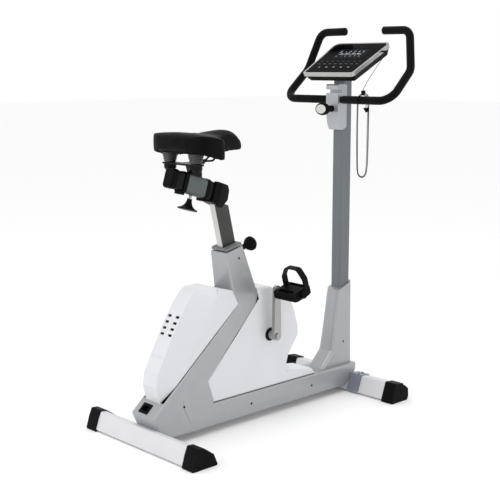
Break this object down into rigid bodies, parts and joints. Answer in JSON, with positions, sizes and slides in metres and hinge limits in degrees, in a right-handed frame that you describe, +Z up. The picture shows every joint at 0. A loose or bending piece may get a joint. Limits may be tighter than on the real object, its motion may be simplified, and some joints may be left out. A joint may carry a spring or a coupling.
{
  "type": "exercise bike",
  "caption": "Upright exercise bike: white cross feet, silver frame, white flywheel shells, sliding saddle, tilting looped handlebar and console on a straight mast.",
  "frame": {"origin": "on the floor under the crank axis, at the middle of the footprint", "axes": "+X forward to the handlebar, +Y to the rider's left, +Z up"},
  "size_m": [1.1313, 0.57, 1.394],
  "materials": {
    "frame_steel": "satin",
    "bearing_steel": "satin",
    "silver_paint": "satin metallic",
    "white_gloss": "gloss",
    "white_paint": "gloss",
    "post_paint": "metallic satin",
    "black_plastic": "satin",
    "roller_rubber": "matt",
    "foam": "matt",
    "steel_tube": "satin",
    "bezel_silver": "satin",
    "gloss_black": "gloss",
    "key_plastic": "satin",
    "cable": "satin",
    "crank_chrome": "polished",
    "pulley_plastic": "satin",
    "strap_rubber": "satin",
    "cast_iron": "turned",
    "coil": "matt",
    "post_aluminium": "brushed",
    "black_steel": "satin",
    "sleeve_aluminium": "anodised",
    "spring_rubber": "satin",
    "cushion": "grained"
  },
  "bodies": {
    "structure": {"bearings": "bearing_steel", "brake_magnet": "coil", "console_base": "black_plastic", "console_bezel": "bezel_silver", "console_face": "gloss_black", "cover_screws": "black_plastic", "drive_belt": "strap_rubber", "frame_cover_left": "silver_paint", "frame_cover_right": "silver_paint", "front_caps": "black_plastic", "front_saddles": "post_paint", "front_shell_left": "white_gloss", "front_shell_right": "white_gloss", "front_stabilizer": "white_paint", "handlebar_post": "post_paint", "main_frame": "frame_steel", "mast_cover_lower": "silver_paint", "mast_cover_upper": "silver_paint", "post_head": "silver_paint", "power_inlet": "black_plastic", "pulse_clips": "black_plastic", "pulse_hank": "cable", "pulse_lead": "cable", "pulse_plug": "black_plastic", "rear_caps": "black_plastic", "rear_shell_left": "white_gloss", "rear_shell_right": "white_gloss", "rear_stabilizer": "white_paint", "seat_tube_collar": "black_plastic"},
    "crank_set": {"crank_axle": "crank_chrome", "crank_pulley": "pulley_plastic", "crank_arm_right": "crank_chrome", "crank_arm_left": "crank_chrome"},
    "pedal_right_body": {"pedal_right": "black_plastic", "strap_right": "strap_rubber"},
    "pedal_left_body": {"pedal_left": "black_plastic", "strap_left": "strap_rubber"},
    "flywheel_body": {"flywheel": "cast_iron"},
    "seat_column": {"seat_post": "post_aluminium", "slide_rail": "black_steel", "rail_covers": "black_plastic"},
    "height_pin_body": {"height_pin": "black_plastic"},
    "saddle_carriage": {"carriage_sleeve": "sleeve_aluminium", "carriage_collars": "black_plastic", "saddle_bracket": "black_steel", "saddle_springs": "spring_rubber", "saddle_shell": "black_plastic", "saddle_cushion": "cushion"},
    "carriage_knob_body": {"carriage_knob": "black_plastic"},
    "handlebar": {"handlebar_tube": "steel_tube", "grip_right": "foam", "grip_left": "foam"},
    "handlebar_knob_body": {"handlebar_knob": "black_plastic"},
    "roller_right_body": {"roller_right": "roller_rubber"},
    "roller_left_body": {"roller_left": "roller_rubber"},
    "key_1_body": {"key_1": "key_plastic"},
    "key_2_body": {"key_2": "key_plastic"},
    "key_3_body": {"key_3": "key_plastic"},
    "key_4_body": {"key_4": "key_plastic"},
    "key_5_body": {"key_5": "key_plastic"}
  },
  "joints": [
    {"name": "crank_spin", "type": "hinge", "parent": "structure", "child": "crank_set", "pos_m": [0, 0, 0.303], "axis": [0, 1, 0], "continuous": true},
    {"name": "pedal_right_spin", "type": "hinge", "parent": "crank_set", "child": "pedal_right_body", "pos_m": [0, -0.164, 0.473], "axis": [0, 1, 0], "continuous": true},
    {"name": "pedal_left_spin", "type": "hinge", "parent": "crank_set", "child": "pedal_left_body", "pos_m": [0, 0.164, 0.133], "axis": [0, 1, 0], "continuous": true},
    {"name": "flywheel_spin", "type": "hinge", "parent": "structure", "child": "flywheel_body", "pos_m": [-0.31, 0, 0.292], "axis": [0, 1, 0], "continuous": true},
    {"name": "seat_height", "type": "slide", "parent": "structure", "child": "seat_column", "axis": [-0.2351, 0, 0.972], "range_m": [-0.06, 0.12]},
    {"name": "height_pin_pull", "type": "slide", "parent": "structure", "child": "height_pin_body", "axis": [0.972, 0, 0.2351], "range_m": [0, 0.012], "stiffness_N_per_m": 900, "springref_m": -0.004},
    {"name": "saddle_slide", "type": "slide", "parent": "seat_column", "child": "saddle_carriage", "axis": [0.9511, 0, -0.309], "range_m": [-0.028, 0.016]},
    {"name": "carriage_knob_turn", "type": "hinge", "parent": "saddle_carriage", "child": "carriage_knob_body", "pos_m": [-0.32754, 0, 0.79994], "axis": [-0.309, 0, -0.9511], "range_deg": [-180, 180]},
    {"name": "handlebar_tilt", "type": "hinge", "parent": "structure", "child": "handlebar", "pos_m": [0.393, 0, 1.125], "axis": [0, 1, 0], "range_deg": [-25, 15]},
    {"name": "handlebar_knob_turn", "type": "hinge", "parent": "structure", "child": "handlebar_knob_body", "pos_m": [0.35, 0, 1.092], "axis": [-1, 0, 0], "range_deg": [-180, 180]},
    {"name": "roller_right_spin", "type": "hinge", "parent": "structure", "child": "roller_right_body", "pos_m": [0.497, -0.261, 0.032], "axis": [0, 1, 0], "continuous": true},
    {"name": "roller_left_spin", "type": "hinge", "parent": "structure", "child": "roller_left_body", "pos_m": [0.497, 0.261, 0.032], "axis": [0, 1, 0], "continuous": true},
    {"name": "key_1_press", "type": "slide", "parent": "structure", "child": "key_1_body", "axis": [0.4842, 0, -0.875], "range_m": [0, 0.001], "stiffness_N_per_m": 500},
    {"name": "key_2_press", "type": "slide", "parent": "structure", "child": "key_2_body", "axis": [0.4842, 0, -0.875], "range_m": [0, 0.001], "stiffness_N_per_m": 500},
    {"name": "key_3_press", "type": "slide", "parent": "structure", "child": "key_3_body", "axis": [0.4842, 0, -0.875], "range_m": [0, 0.001], "stiffness_N_per_m": 500},
    {"name": "key_4_press", "type": "slide", "parent": "structure", "child": "key_4_body", "axis": [0.4842, 0, -0.875], "range_m": [0, 0.001], "stiffness_N_per_m": 500},
    {"name": "key_5_press", "type": "slide", "parent": "structure", "child": "key_5_body", "axis": [0.4842, 0, -0.875], "range_m": [0, 0.001], "stiffness_N_per_m": 500}
  ],
  "couplings": [
    {"joint": "flywheel_spin", "follows": "crank_spin", "ratio": 7.8571}
  ]
}
